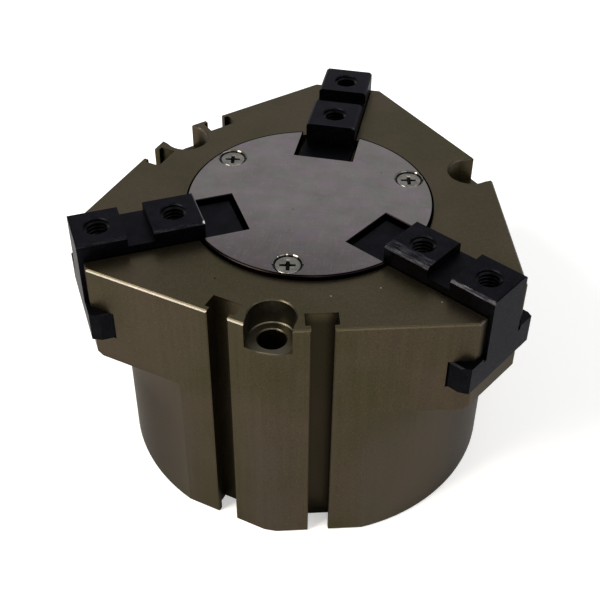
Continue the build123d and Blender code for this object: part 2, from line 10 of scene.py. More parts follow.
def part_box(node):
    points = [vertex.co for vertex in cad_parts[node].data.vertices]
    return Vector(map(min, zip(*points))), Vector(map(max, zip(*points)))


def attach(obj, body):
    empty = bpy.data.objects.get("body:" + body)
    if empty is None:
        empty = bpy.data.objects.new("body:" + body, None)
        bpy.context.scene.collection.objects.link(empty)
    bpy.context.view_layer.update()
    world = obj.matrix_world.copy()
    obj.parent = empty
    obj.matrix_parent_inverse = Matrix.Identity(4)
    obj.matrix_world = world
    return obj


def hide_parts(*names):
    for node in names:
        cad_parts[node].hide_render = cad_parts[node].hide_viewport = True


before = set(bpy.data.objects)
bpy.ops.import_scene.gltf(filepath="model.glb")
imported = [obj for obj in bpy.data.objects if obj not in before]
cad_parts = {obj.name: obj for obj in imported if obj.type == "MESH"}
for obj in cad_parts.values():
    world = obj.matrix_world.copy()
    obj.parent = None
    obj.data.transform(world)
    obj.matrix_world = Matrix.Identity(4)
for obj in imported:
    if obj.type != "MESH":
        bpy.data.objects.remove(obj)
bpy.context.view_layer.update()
MM = 0.001

# Sizes in millimetres and angles in degrees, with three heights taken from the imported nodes
BODY_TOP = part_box("housing")[1].z / MM
COVER_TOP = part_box("cover_plate")[1].z / MM
PAD_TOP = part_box("master_jaw_a")[1].z / MM
HEAD_THICKNESS = 26.5
HEAD_BASE = BODY_TOP - HEAD_THICKNESS
BODY_RADIUS = 48.5
BODY_CHAMFER = 0.5
FLAT_DISTANCE = 47.25
FLAT_END = 34.0
BOLT_CIRCLE = 43.5
BOLT_HEAD_HOLE = 5.5
BOLT_HEAD_DEPTH = 6.8
PORTS = ((15.0, 11.875), (45.0, 35.628))
JAW_ANGLES = {"a": 90.0, "b": 210.0, "c": 330.0}
JAW_HALF_WIDTH = 6.5
JAW_END = 58.596
JAW_HOLES = (34.371, 52.646)
PAD_START = 28.246
PAD_CHAMFER = 0.6
KEYWAY_MIDDLE = 43.6
COVER_RADIUS = 30.6
SCREW_ANGLES = (270.0, 30.0, 150.0)
SCREW_CIRCLE = 26.5
SCREW_HEAD_RADIUS = 3.6
SCREW_SINK = 0.4
SCREW_SLOT_TURN = 10.5

# Half the width and the depth of a sensor groove, each with a little to spare
GROOVE_REACH = 4.4
GROOVE_DEPTH = 7.0

# Threads, and how far below the pad's top or behind the flat each one starts
JAW_THREAD = {"Radius": 3.0, "Pitch": 1.0, "Depth": 12.0, "Ridge": 0.5}
JAW_THREAD_START = 0.75
PORT_THREAD = {"Radius": 4.3, "Pitch": 0.907, "Depth": 6.0, "Ridge": 0.4}
PORT_THREAD_START = 1.1

# Radius and height along the cover screw, from its tip to the top of its head
SCREW_PROFILE = (
    (1.2, -10.0),
    (1.6, -9.6),
    (1.6, -3.3),
    (1.95, -3.0),
    (1.95, -1.25),
    (3.05, -0.19),
    (3.09, -0.15),
    (3.08, -0.12),
    (2.94, 0.0),
)
# Reach, half width and height of the cross recess's wings, from its bottom to past the head
RECESS_WINGS = (
    (0.45, 0.25, -1.9),
    (1.15, 0.33, -1.3),
    (1.9, 0.38, -0.1),
    (2.0, 0.43, 0.0),
    (2.25, 0.66, 0.3),
)
# How far the corner between two wings is filled, times half a wing's width
RECESS_CORNER = 1.15

# Where the body and the cover carry painted shade, dust, nicks or pits, and the flat whose rubbed edge
# keeps its painted highlight faint; the number with each grooved flat is how strong the painted shade
# inside its groove is
SENSOR_FLATS = {135.0: 0.5, 165.0: 0.5, 255.0: 0.12, 285.0: 0.7}
DIM_EDGE_FLAT = 285.0
SHADED_SIDE = 205.0
SHADE_START = 39.0
SHADED_COUNTERBORE = 150.0
DUSTY_COUNTERBORE = 270.0
BODY_NICKS = ((22.0, -29.2), (11.5, -34.3), (36.0, -31.2))
BODY_PITS = ((-15.4, -33.6),)
COVER_PITS = ((-3.1, -5.6), (15.7, 14.4))

# Wear and painted shade of each jaw: the side whose pad edges are rubbed, how wide and how strongly
# they are on the inner and the outer pad, the chipped side, the wear of the inner pad's end and the
# painted shade on the tail under the cover. A side is 1 for the anticlockwise one seen from above,
# and -1 for the other
JAW_WEAR = {
    "a": (1.0, (0.1, 0.1), (0.05, 0.05), -1.0, 0.12, 0.85),
    "b": (1.0, (0.1, 0.1), (0.2, 0.12), 1.0, 1.0, 0.0),
    "c": (-1.0, (2.8, 0.3), (0.24, 0.5), -1.0, 0.0, 0.0),
}

# The values of a noise between which a tone, or a roughness, goes from one end to the other
TONE_RANGE = (0.35, 0.65)
ROUGH_RANGE = (0.25, 0.75)


def around(angle, radius=1.0, height=0.0):
    """A point at a distance from the chuck's axis, at an angle in degrees."""
    turn = math.radians(angle)
    return Vector((radius * math.cos(turn), radius * math.sin(turn), height))


# Shared steps for node trees


def srgb(code):
    """Linear colour of an sRGB hex value."""
    parts = [int(code[i : i + 2], 16) / 255 for i in (1, 3, 5)]
    linear = [p / 12.92 if p <= 0.04045 else ((p + 0.055) / 1.055) ** 2.4 for p in parts]
    return (*linear, 1.0)


def add(tree, kind, *values, out=0, named=None, **settings):
    """Adds one node, sets it up, feeds its inputs in order or by name, and gives one output."""
    node = tree.nodes.new(kind)
    for name, value in settings.items():
        setattr(node, name, value)
    for key, value in [*enumerate(values), *(named or {}).items()]:
        if isinstance(value, bpy.types.NodeSocket):
            tree.links.new(value, node.inputs[key])
        elif value is not None:
            node.inputs[key].default_value = value
    return node.outputs[out]


def start_material(name, metallic, rim="#ffffff"):
    """A material and its shader; rim is the tint of a metal seen at a low angle."""
    material = bpy.data.materials.new(name)
    material.use_nodes = True
    tree = material.node_tree
    shader = tree.nodes["Principled BSDF"]
    shader.inputs["Metallic"].default_value = metallic
    shader.inputs["Specular Tint"].default_value = srgb(rim)
    return material, tree, shader


def measured(tree, angle=0.0):
    """Place on the chuck in millimetres, turned so that X runs out along the given angle."""
    turn = (0, 0, -math.radians(angle))
    place = add(tree, "ShaderNodeTexCoord", out="Object")
    return add(tree, "ShaderNodeMapping", place, None, turn, (1 / MM, 1 / MM, 1 / MM))


def grain(tree, place, size, stretch=(1, 1, 1), detail=2.0):
    """Irregular grain about size millimetres across, drawn out where stretch is below 1. The
    finest real grain and scratches are a tenth of this size, too fine for a picture of the
    whole chuck, so they are drawn as coarse as they need to show."""
    scaled = add(tree, "ShaderNodeMapping", place, named={"Scale": tuple(s / size for s in stretch)})
    values = {"Vector": scaled, "Scale": 1.0, "Detail": detail, "Roughness": 0.6}
    return add(tree, "ShaderNodeTexNoise", named=values, out="Fac")


def nearest_of(tree, place, centres):
    """Distance in millimetres to the nearest of some points, or 1000 if all are further off."""
    nearest = 1000.0
    for centre in centres:
        away = add(tree, "ShaderNodeVectorMath", place, centre, operation="DISTANCE", out="Value")
        nearest = add(tree, "ShaderNodeMath", away, nearest, operation="MINIMUM")
    return nearest


def flecks(tree, place, centres, radius):
    """Small round marks at given places, 1 inside them and 0 outside."""
    nearest = nearest_of(tree, place, centres)
    return add(tree, "ShaderNodeMapRange", nearest, radius, 0.6 * radius, interpolation_type="SMOOTHSTEP")


def finish(tree, shader, base, layers, roughness, relief, depth):
    """Joins a finish: a base colour under layers of other colours, each as strong as its own
    mask, then the roughness, and the relief with its depth in millimetres."""
    tone = base
    for mask, colour in layers:
        tone = add(tree, "ShaderNodeMix", mask, data_type="RGBA", named={6: tone, 7: colour}, out=2)
    bump = add(tree, "ShaderNodeBump", 1.0, depth * MM, named={"Height": relief})
    tree.links.new(tone, shader.inputs["Base Color"])
    tree.links.new(roughness, shader.inputs["Roughness"])
    tree.links.new(bump, shader.inputs["Normal"])


# Finishes


def in_sensor_grooves(tree, place):
    """Two masks for the sensor grooves: how strong the painted shade inside them is, and where they are at
    all.
    """
    dark, grooved = 0.0, 0.0
    for angle, darkness in SENSOR_FLATS.items():
        flat, sideways = around(angle), around(angle + 90)
        out = add(tree, "ShaderNodeVectorMath", place, flat, operation="DOT_PRODUCT", out="Value")
        across = add(tree, "ShaderNodeVectorMath", place, sideways, operation="DOT_PRODUCT", out="Value")
        near = add(tree, "ShaderNodeMath", across, 0.0, GROOVE_REACH, operation="COMPARE")
        outer = add(tree, "ShaderNodeMath", out, FLAT_DISTANCE - GROOVE_DEPTH, operation="GREATER_THAN")
        near = add(tree, "ShaderNodeMath", near, outer, operation="MULTIPLY")
        # Painted shade, growing from 0.4 mm to 1.8 mm inside the groove
        deep = add(tree, "ShaderNodeMapRange", out, FLAT_DISTANCE - 0.4, FLAT_DISTANCE - 1.8, 0.0, darkness)
        deep = add(tree, "ShaderNodeMath", deep, near, operation="MULTIPLY")
        dark = add(tree, "ShaderNodeMath", deep, dark, operation="MAXIMUM")
        behind = add(tree, "ShaderNodeMath", out, FLAT_DISTANCE - 1.0, operation="LESS_THAN")
        behind = add(tree, "ShaderNodeMath", behind, near, operation="MULTIPLY")
        grooved = add(tree, "ShaderNodeMath", behind, grooved, operation="MAXIMUM")
    return dark, grooved


def in_counterbore(tree, level, height, angle, strength):
    """Mask for the wall and the seat of one bolt head's counterbore, not the face below it."""
    away = nearest_of(tree, level, [around(angle, BOLT_CIRCLE)])
    inside = add(tree, "ShaderNodeMapRange", away, BOLT_HEAD_HOLE + 0.3, BOLT_HEAD_HOLE + 0.1, 0.0, strength)
    seat = BODY_TOP - BOLT_HEAD_DEPTH
    seated = add(tree, "ShaderNodeMath", height, seat - 0.1, operation="GREATER_THAN")
    return add(tree, "ShaderNodeMath", inside, seated, operation="MULTIPLY")


def on_top_chamfer(tree, place, height):
    """Two masks for the chamfer round the body's top: its upper half, darkened as painted shade so that
    its highlight stays narrow, and its lower half, rubbed paler as wear that is also a painted
    highlight, but hardly so along one flat."""
    middle = BODY_TOP - BODY_CHAMFER / 2
    foot = BODY_TOP - BODY_CHAMFER
    dark = add(tree, "ShaderNodeMapRange", height, middle - 0.01, middle + 0.07, 0.0, 0.45)
    under_top = add(tree, "ShaderNodeMapRange", height, BODY_TOP - 0.01, BODY_TOP - 0.04)
    dark = add(tree, "ShaderNodeMath", dark, under_top, operation="MULTIPLY")
    bright = add(tree, "ShaderNodeMapRange", height, foot - 0.02, foot + 0.06, 0.0, 0.2)
    under_middle = add(tree, "ShaderNodeMapRange", height, middle + 0.07, middle - 0.01)
    bright = add(tree, "ShaderNodeMath", bright, under_middle, operation="MULTIPLY")
    flat, sideways = around(DIM_EDGE_FLAT), around(DIM_EDGE_FLAT + 90)
    out = add(tree, "ShaderNodeVectorMath", place, flat, operation="DOT_PRODUCT", out="Value")
    edge_strength = add(tree, "ShaderNodeMapRange", out, FLAT_DISTANCE - 0.8, FLAT_DISTANCE - 1.6, 0.04, 1.0)
    along = add(tree, "ShaderNodeVectorMath", place, sideways, operation="DOT_PRODUCT", out="Value")
    edge_strength = add(tree, "ShaderNodeMapRange", along, FLAT_END - 0.2, FLAT_END, edge_strength, 1.0)
    bright = add(tree, "ShaderNodeMath", bright, edge_strength, operation="MULTIPLY")
    return dark, bright


def hard_anodised_aluminium():
    """Thick dull oxide, olive brown, over machined faces: a fine even grain, slow changes of
    tone, faint upright milling streaks, a greyer turned part, partly its finish and partly a painted
    reflection, with painted shade on its left, paler rubbed edges on top that are also a painted
    highlight, painted shade on the upper half of the top chamfer and inside the grooves and one
    counterbore, and dust in the front counterbore."""
    material, tree, shader = start_material("hard_anodised_aluminium", 1.0)
    place = measured(tree)
    height = add(tree, "ShaderNodeSeparateXYZ", place, out="Z")
    level = add(tree, "ShaderNodeVectorMath", place, (1, 1, 0), operation="MULTIPLY")
    radius = add(tree, "ShaderNodeVectorMath", level, operation="LENGTH", out="Value")
    cloud = grain(tree, place, 24.0)
    cloud = add(tree, "ShaderNodeMapRange", cloud, *TONE_RANGE)
    streak = grain(tree, place, 1.4, (1, 1, 0.04))
    streak = add(tree, "ShaderNodeMapRange", streak, 0.4, 0.75, 0.0, 0.16)
    fine = grain(tree, place, 0.4, detail=3.0)
    light_grain = add(tree, "ShaderNodeMapRange", fine, 0.56, 0.78, 0.0, 0.4)
    dark_grain = add(tree, "ShaderNodeMapRange", fine, 0.44, 0.24, 0.0, 0.6)
    under_head = add(tree, "ShaderNodeMapRange", height, HEAD_BASE + 2, HEAD_BASE - 14)
    # The turned part is greyer: partly its turned finish, partly a painted reflection of the pale
    # surroundings
    turned = add(tree, "ShaderNodeMapRange", radius, FLAT_DISTANCE + 0.2, BODY_RADIUS, 0.0, 0.4)
    turned = add(tree, "ShaderNodeMath", turned, under_head, operation="MULTIPLY")
    # Painted shade: the turned part darker on its left, with a dimmer sheen at low angles there
    side = around(SHADED_SIDE)
    painted_shade = add(tree, "ShaderNodeVectorMath", place, side, operation="DOT_PRODUCT", out="Value")
    painted_shade = add(tree, "ShaderNodeMapRange", painted_shade, SHADE_START, BODY_RADIUS, 0.0, 0.84)
    painted_shade = add(tree, "ShaderNodeMath", painted_shade, under_head, operation="MULTIPLY")
    rims = {6: srgb("#dedcdb"), 7: srgb("#bebcba")}
    rim = add(tree, "ShaderNodeMix", painted_shade, data_type="RGBA", named=rims, out=2)
    tree.links.new(rim, shader.inputs["Specular Tint"])
    below = add(tree, "ShaderNodeMapRange", height, BODY_TOP - 0.3, BODY_TOP - 3.0)
    # Painted shade inside the sensor grooves and one counterbore, from 0.3 mm below the top down
    inside, grooved = in_sensor_grooves(tree, place)
    bored = in_counterbore(tree, level, height, SHADED_COUNTERBORE, 0.6)
    inside = add(tree, "ShaderNodeMath", bored, inside, operation="MAXIMUM")
    inside = add(tree, "ShaderNodeMath", inside, below, operation="MULTIPLY")
    dusty = in_counterbore(tree, level, height, DUSTY_COUNTERBORE, 0.11)
    dusty = add(tree, "ShaderNodeMath", dusty, below, operation="MULTIPLY")
    upper_chamfer, lower_chamfer = on_top_chamfer(tree, place, height)
    # The lower half of the chamfer: pale as wear and a painted highlight, but dark as painted shade inside
    # the grooves
    wear_highlight_shades = {6: srgb("#7f858f"), 7: srgb("#16130c")}
    wear_highlight_shade = add(tree, "ShaderNodeMix", grooved, data_type="RGBA", named=wear_highlight_shades, out=2)
    layers = (
        (cloud, srgb("#443c32")),
        (streak, srgb("#574f3d")),
        (turned, srgb("#46413b")),
        (painted_shade, srgb("#16130f")),
        (light_grain, srgb("#665d48")),
        (dark_grain, srgb("#241f15")),
        (inside, srgb("#16130c")),
        (dusty, srgb("#8b8a84")),
        # Painted shade on the upper half of the top chamfer
        (upper_chamfer, srgb("#1c1912")),
        (lower_chamfer, wear_highlight_shade),
        (flecks(tree, place, [(x, y, BODY_TOP) for x, y in BODY_NICKS], 0.24), srgb("#8b826e")),
        (flecks(tree, place, [(x, y, BODY_TOP) for x, y in BODY_PITS], 0.3), srgb("#14120e")),
    )
    rough = add(tree, "ShaderNodeMapRange", fine, *ROUGH_RANGE, 0.3, 0.44)
    finish(tree, shader, srgb("#3c3829"), layers, rough, fine, depth=0.006)
    return material


def ground_cover_steel():
    """Ground and lightly stoned steel, grey with a warm cast: soft smudges with faint violet and
    green tempering tints, barely visible scratches, painted shade on the sides, the slots and an
    outer ring of the top, painted shade towards the front and low in the countersinks, and bright
    cut countersinks."""
    material, tree, shader = start_material("ground_cover_steel", 1.0)
    place = measured(tree)
    height = add(tree, "ShaderNodeSeparateXYZ", place, out="Z")
    level = add(tree, "ShaderNodeVectorMath", place, (1, 1, 0), operation="MULTIPLY")
    radius = add(tree, "ShaderNodeVectorMath", level, operation="LENGTH", out="Value")
    smudge = grain(tree, place, 9.0, detail=3.0)
    smudge = add(tree, "ShaderNodeMapRange", smudge, *TONE_RANGE)
    temper = grain(tree, place, 5.0, (0.8, 1.2, 1))
    violet = add(tree, "ShaderNodeMapRange", temper, 0.5, 0.68, 0.0, 0.5)
    green = add(tree, "ShaderNodeMapRange", temper, 0.5, 0.32, 0.0, 0.5)
    # Painted shade: the disc darker towards its front
    front = add(tree, "ShaderNodeSeparateXYZ", place, out="Y")
    painted_front_shade = add(tree, "ShaderNodeMapRange", front, -6.0, -30.0, 0.0, 0.8)
    along = grain(tree, place, 0.5, (0.15, 1.4, 1), detail=3.0)
    across = grain(tree, place, 0.5, (1.3, 0.2, 1), detail=3.0)
    marks = add(tree, "ShaderNodeMath", along, across, operation="ADD")
    scratch = add(tree, "ShaderNodeMapRange", marks, 1.0, 1.35, 0.0, 0.25)

    # The ground top ends in a ring of painted shade, and what slopes close to a screw is its countersink
    normal = add(tree, "ShaderNodeNewGeometry", out="True Normal")
    upward = add(tree, "ShaderNodeSeparateXYZ", normal, out="Z")
    top = add(tree, "ShaderNodeMapRange", upward, 0.85, 0.95)
    side = add(tree, "ShaderNodeMath", 1.0, top, operation="SUBTRACT")
    painted_rim_shade = add(tree, "ShaderNodeMapRange", radius, COVER_RADIUS - 0.6, COVER_RADIUS - 0.5)
    plain = add(tree, "ShaderNodeMath", top, painted_rim_shade, operation="SUBTRACT", use_clamp=True)
    away = nearest_of(tree, level, [around(angle, SCREW_CIRCLE) for angle in SCREW_ANGLES])
    cut = add(tree, "ShaderNodeMapRange", away, SCREW_HEAD_RADIUS + 0.06, SCREW_HEAD_RADIUS + 0.02)
    cut = add(tree, "ShaderNodeMath", cut, top, operation="SUBTRACT", use_clamp=True)
    # Painted shade low in each countersink, round the screw head
    painted_shade = add(tree, "ShaderNodeMapRange", height, COVER_TOP - 0.16, COVER_TOP - 0.28)
    seats = {6: srgb("#68645f"), 7: srgb("#0b0a0a")}
    seat = add(tree, "ShaderNodeMix", painted_shade, data_type="RGBA", named=seats, out=2)
    # Painted shade: a dim sheen on the sides and the outer ring
    rims = {6: srgb("#2c2a2a"), 7: srgb("#ffffff")}
    rim = add(tree, "ShaderNodeMix", plain, data_type="RGBA", named=rims, out=2)
    rims = {6: rim, 7: srgb("#ffffff")}
    rim = add(tree, "ShaderNodeMix", cut, data_type="RGBA", named=rims, out=2)
    tree.links.new(rim, shader.inputs["Specular Tint"])
    layers = (
        (smudge, srgb("#6e6869")),
        (violet, srgb("#70646f")),
        (green, srgb("#636764")),
        (painted_front_shade, srgb("#494344")),
        (scratch, srgb("#7e7979")),
        (flecks(tree, place, [(x, y, COVER_TOP) for x, y in COVER_PITS], 0.25), srgb("#2a2626")),
        # Painted shade on the sides and the outer ring
        (side, srgb("#0f0c0c")),
        (painted_rim_shade, srgb("#0f0c0c")),
        (cut, seat),
    )
    rough = add(tree, "ShaderNodeMapRange", marks, 0.6, 1.4, 0.2, 0.28)
    rough = add(tree, "ShaderNodeMix", named={0: cut, 2: rough, 3: 0.02})
    finish(tree, shader, srgb("#625d5d"), layers, rough, marks, depth=0.001)
    return material


def black_oxide_steel(letter, worn_side, widths, wear, chipped_side, end_wear, painted_tail_shade):
    """Hardened steel, chemically blackened: nearly black with a cold sheen and a dusty grain.
    Handling has rubbed the pads' edges on one side, in broken scratches along the jaw. The
    inner pad's end has a fine bright edge and a chipped corner, the outer end's lip is dark,
    and painted shade darkens the tail where it runs under the cover."""
    material, tree, shader = start_material("black_oxide_steel_" + letter, 1.0, "#dadbe0")
    place = measured(tree, JAW_ANGLES[letter])
    out, across, height = (add(tree, "ShaderNodeSeparateXYZ", place, out=axis) for axis in "XYZ")
    cloud = grain(tree, place, 5.0)
    cloud = add(tree, "ShaderNodeMapRange", cloud, *TONE_RANGE)
    fine = grain(tree, place, 0.4, detail=3.0)
    dust = add(tree, "ShaderNodeMapRange", fine, 0.5, 0.78, 0.0, 0.35)
    speckled = add(tree, "ShaderNodeMapRange", fine, 0.3, 0.6, 0.35, 1.0)
    scratch = grain(tree, place, 0.4, (0.14, 1.2, 1.2), detail=3.0)
    rubbed = add(tree, "ShaderNodeMapRange", scratch, 0.42, 0.62)

    # The rubbed edge starts its width inside the chamfer, and is fully rubbed 0.35 further out
    outer_pad = add(tree, "ShaderNodeMath", out, KEYWAY_MIDDLE, operation="GREATER_THAN")
    chamfer = JAW_HALF_WIDTH - PAD_CHAMFER
    start = add(tree, "ShaderNodeMapRange", outer_pad, 0.0, 1.0, chamfer - widths[0], chamfer - widths[1])
    full = add(tree, "ShaderNodeMath", start, 0.35, operation="ADD")
    side = add(tree, "ShaderNodeMath", across, worn_side, operation="MULTIPLY")
    worn = add(tree, "ShaderNodeMapRange", side, start, full)
    high = add(tree, "ShaderNodeMapRange", height, PAD_TOP - 0.7, PAD_TOP - 0.5)
    strength = add(tree, "ShaderNodeMapRange", outer_pad, 0.0, 1.0, *wear)
    sloped = add(tree, "ShaderNodeMapRange", height, PAD_TOP - 0.04, PAD_TOP, 0.28, 1.0)
    for pattern in (high, rubbed, speckled, strength, sloped):
        worn = add(tree, "ShaderNodeMath", worn, pattern, operation="MULTIPLY")

    top = add(tree, "ShaderNodeMath", height, PAD_TOP - 0.2, operation="GREATER_THAN")
    end = add(tree, "ShaderNodeMath", out, PAD_START + 0.1, 0.14, operation="COMPARE")
    for pattern in (top, speckled, 0.3 * end_wear):
        end = add(tree, "ShaderNodeMath", end, pattern, operation="MULTIPLY")
    corner = (PAD_START, chipped_side * (JAW_HALF_WIDTH - 0.5), PAD_TOP - 0.2)
    chipped = flecks(tree, place, [corner], 0.55)
    chipped = add(tree, "ShaderNodeMath", chipped, end_wear, operation="MULTIPLY")
    end = add(tree, "ShaderNodeMath", end, chipped, operation="MAXIMUM")
    lip = add(tree, "ShaderNodeMath", out, JAW_END - 0.35, operation="GREATER_THAN")
    for pattern in (top, 0.85):
        lip = add(tree, "ShaderNodeMath", lip, pattern, operation="MULTIPLY")
    layers = (
        (cloud, srgb("#101014")),
        (dust, srgb("#2c2c33")),
        (worn, srgb("#77777e")),
        (end, srgb("#9a9aa0")),
        (lip, srgb("#020203")),
        # Painted shade on the tail where it runs under the cover
        (add(tree, "ShaderNodeMapRange", out, PAD_START, PAD_START - 1.5, 0.0, painted_tail_shade), srgb("#020303")),
    )
    rough = add(tree, "ShaderNodeMapRange", fine, *ROUGH_RANGE, 0.36, 0.52)
    finish(tree, shader, srgb("#09090b"), layers, rough, fine, depth=0.006)
    return material


def worked_metal(name, dark, light, roughness, size):
    """Plain worked metal in two close tones: fine marks round the piece and a slow change of
    tone, with the shine that its working leaves."""
    material, tree, shader = start_material(name, 1.0)
    place = measured(tree)
    marks = grain(tree, place, size, (1, 1, 2.5), detail=3.0)
    cloud = grain(tree, place, 8.0)
    pale = add(tree, "ShaderNodeMath", marks, cloud, operation="MULTIPLY")
    pale = add(tree, "ShaderNodeMapRange", pale, 0.12, 0.4)
    rough = add(tree, "ShaderNodeMapRange", marks, *ROUGH_RANGE, roughness - 0.08, roughness + 0.08)
    finish(tree, shader, srgb(dark), [(pale, srgb(light))], rough, marks, depth=0.003)
    return material


def nickel_plated_screw_steel():
    """Nickel plated steel, grey with a crisp shine on its edges, with painted shade in the recess."""
    material, tree, shader = start_material("nickel_plated_screw_steel", 1.0)
    place = measured(tree)
    height = add(tree, "ShaderNodeSeparateXYZ", place, out="Z")
    cloud = grain(tree, place, 1.4)
    cloud = add(tree, "ShaderNodeMapRange", cloud, *TONE_RANGE)
    head = COVER_TOP - SCREW_SINK
    # Painted shade in the cross recess, below the top of the head
    deep = add(tree, "ShaderNodeMapRange", height, head - 0.14, head - 0.4)
    marks = grain(tree, place, 0.3, detail=3.0)
    rough = add(tree, "ShaderNodeMapRange", marks, *ROUGH_RANGE, 0.2, 0.32)
    layers = ((cloud, srgb("#74736e")), (deep, srgb("#0b0a0a")))
    finish(tree, shader, srgb("#5c5b57"), layers, rough, marks, depth=0.002)
    return material


def moulded(name, dark, light, roughness):
    """Moulded rubber or plastic: dull, with a soft grain from the mould."""
    material, tree, shader = start_material(name, 0.0)
    place = measured(tree)
    cloud = grain(tree, place, 5.0)
    cloud = add(tree, "ShaderNodeMapRange", cloud, *TONE_RANGE)
    fine = grain(tree, place, 0.3)
    rough = add(tree, "ShaderNodeMapRange", fine, *ROUGH_RANGE, roughness - 0.08, roughness + 0.08)
    finish(tree, shader, srgb(dark), [(cloud, srgb(light))], rough, fine, depth=0.006)
    return material


def dress(material, *nodes):
    """Gives CAD nodes a finish."""
    for name in nodes:
        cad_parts[name].data.materials.clear()
        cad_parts[name].data.materials.append(material)


dress(hard_anodised_aluminium(), "housing")
dress(ground_cover_steel(), "cover_plate")
for jaw_letter, jaw_wear in JAW_WEAR.items():
    dress(black_oxide_steel(jaw_letter, *jaw_wear), "master_jaw_" + jaw_letter)
# Case hardened and ground steel: mid grey, smooth
dress(worked_metal("ground_case_hardened_steel", "#6a6a69", "#8e8e8c", 0.3, 0.4), "wedge_hub")
# Aluminium as turned: pale, with a soft shine
dress(worked_metal("turned_aluminium", "#a0a09e", "#c6c6c2", 0.35, 0.4), "piston")
# Socket screw steel with black oxide: nearly black, satin
dress(worked_metal("black_screw_steel", "#151518", "#26262a", 0.4, 0.3), "piston_screw")
# Aluminium in clear anodising: pale grey, silky
dress(worked_metal("clear_anodised_aluminium", "#83837f", "#a5a5a0", 0.42, 0.5), "end_cover")
# Phosphated spring steel: dark grey, dull
dress(worked_metal("phosphated_spring_steel", "#232325", "#3a3a3b", 0.5, 0.3), "retaining_ring")
# Nitrile rubber: black, slightly satin
NITRILE = moulded("nitrile_rubber", "#0d0d0d", "#191919", 0.55)
dress(NITRILE, "piston_seal", "rod_seal", "end_cover_seal", "spigot_seal")
# Urethane rubber: dark amber brown
dress(moulded("urethane_rubber", "#14120c", "#2a2416", 0.5), "bumper_lower", "bumper_upper")
# Rubber filled with magnet powder: brown grey, dead matt
dress(moulded("magnet_rubber", "#2c2825", "#3b3632", 0.7), "piston_magnet")
# Filled PTFE: cream, waxy
dress(moulded("filled_ptfe", "#c4beac", "#ddd8c8", 0.5), "piston_wear_ring")

SCREW_STEEL = nickel_plated_screw_steel()
# Blackened steel where the tap has cut: as dark as the faces, a little shinier on its crests
TAPPED_STEEL = worked_metal("tapped_black_steel", "#050506", "#161618", 0.22, 0.4)
# Anodised aluminium where the tap has cut: the body's colour, a little shinier
TAPPED_ALUMINIUM = worked_metal("tapped_anodised_aluminium", "#37321f", "#544d3b", 0.32, 0.4)


# Pieces that repeat, made by node trees


def new_piece(name, mesh):
    """An object in the scene that shows a mesh."""
    piece = bpy.data.objects.new(name, mesh)
    bpy.context.scene.collection.objects.link(piece)
    return piece


def as_evaluated(piece):
    """Plain mesh of a piece with its modifiers applied."""
    bpy.context.view_layer.update()
    return bpy.data.meshes.new_from_object(piece.evaluated_get(bpy.context.evaluated_depsgraph_get()))


def empty_tree(name, sizes):
    """A geometry tree with named inputs, its given values, and its output node."""
    tree = bpy.data.node_groups.new(name, "GeometryNodeTree")
    tree.interface.new_socket("Geometry", in_out="INPUT", socket_type="NodeSocketGeometry")
    for label, kind in sizes.items():
        tree.interface.new_socket(label, in_out="INPUT", socket_type="NodeSocket" + kind)
    tree.interface.new_socket("Geometry", in_out="OUTPUT", socket_type="NodeSocketGeometry")
    return tree, tree.nodes.new("NodeGroupInput").outputs, tree.nodes.new("NodeGroupOutput")


def crisp(mesh, degrees):
    """Smooth shading, with edges sharper than the angle kept crisp."""
    made = bmesh.new()
    made.from_mesh(mesh)
    bmesh.ops.recalc_face_normals(made, faces=made.faces)
    for face in made.faces:
        face.smooth = True
    for edge in made.edges:
        edge.smooth = len(edge.link_faces) == 2 and edge.calc_face_angle(0.0) < math.radians(degrees)
    made.to_mesh(mesh)
    made.free()


def grow(name, mesh, tree, values, body):
    """Runs a tree on a starting mesh, keeps the plain result and lets it ride on a body."""
    piece = new_piece(name, mesh)
    modifier = piece.modifiers.new("grow", "NODES")
    modifier.node_group = tree
    for item in tree.interface.items_tree:
        if item.in_out == "INPUT" and item.name in values:
            modifier[item.identifier] = values[item.name]
    grown = as_evaluated(piece)
    piece.modifiers.remove(modifier)
    piece.data = grown
    grown.name = name
    crisp(grown, degrees=35)
    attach(piece, body)
    return piece


def thread_tree():
    """Internal thread: a three-sided ridge wound down each hole. The holes are the points of
    the starting mesh, and the attribute called axis gives the way out of each."""
    sizes = {"Radius": "Float", "Pitch": "Float", "Depth": "Float", "Ridge": "Float", "Material": "Material"}
    tree, given, out = empty_tree("internal_thread", sizes)
    turns = add(tree, "ShaderNodeMath", given["Depth"], given["Pitch"], operation="DIVIDE")
    coil = {"Resolution": 36, "Rotations": turns, "Height": given["Depth"]}
    coil.update({"Start Radius": given["Radius"], "End Radius": given["Radius"]})
    line = add(tree, "GeometryNodeCurveSpiral", named=coil)
    line = add(tree, "GeometryNodeSetCurveNormal", line, mode="Z_UP")
    section = add(tree, "GeometryNodeCurvePrimitiveCircle", named={"Resolution": 3, "Radius": given["Ridge"]})
    ridge = add(tree, "GeometryNodeCurveToMesh", line, section, named={"Fill Caps": True})
    down = add(tree, "ShaderNodeMath", given["Depth"], -1.0, operation="MULTIPLY")
    sunk = add(tree, "ShaderNodeCombineXYZ", None, None, down)
    ridge = add(tree, "GeometryNodeTransform", ridge, named={"Translation": sunk})
    axis = add(tree, "GeometryNodeInputNamedAttribute", "axis", data_type="FLOAT_VECTOR")
    lean = add(tree, "FunctionNodeAlignRotationToVector", named={"Vector": axis}, axis="Z")
    placed = {"Instance": ridge, "Rotation": lean}
    wound = add(tree, "GeometryNodeInstanceOnPoints", given["Geometry"], named=placed)
    real = add(tree, "GeometryNodeRealizeInstances", wound)
    tree.links.new(add(tree, "GeometryNodeSetMaterial", real, None, given["Material"]), out.inputs[0])
    return tree


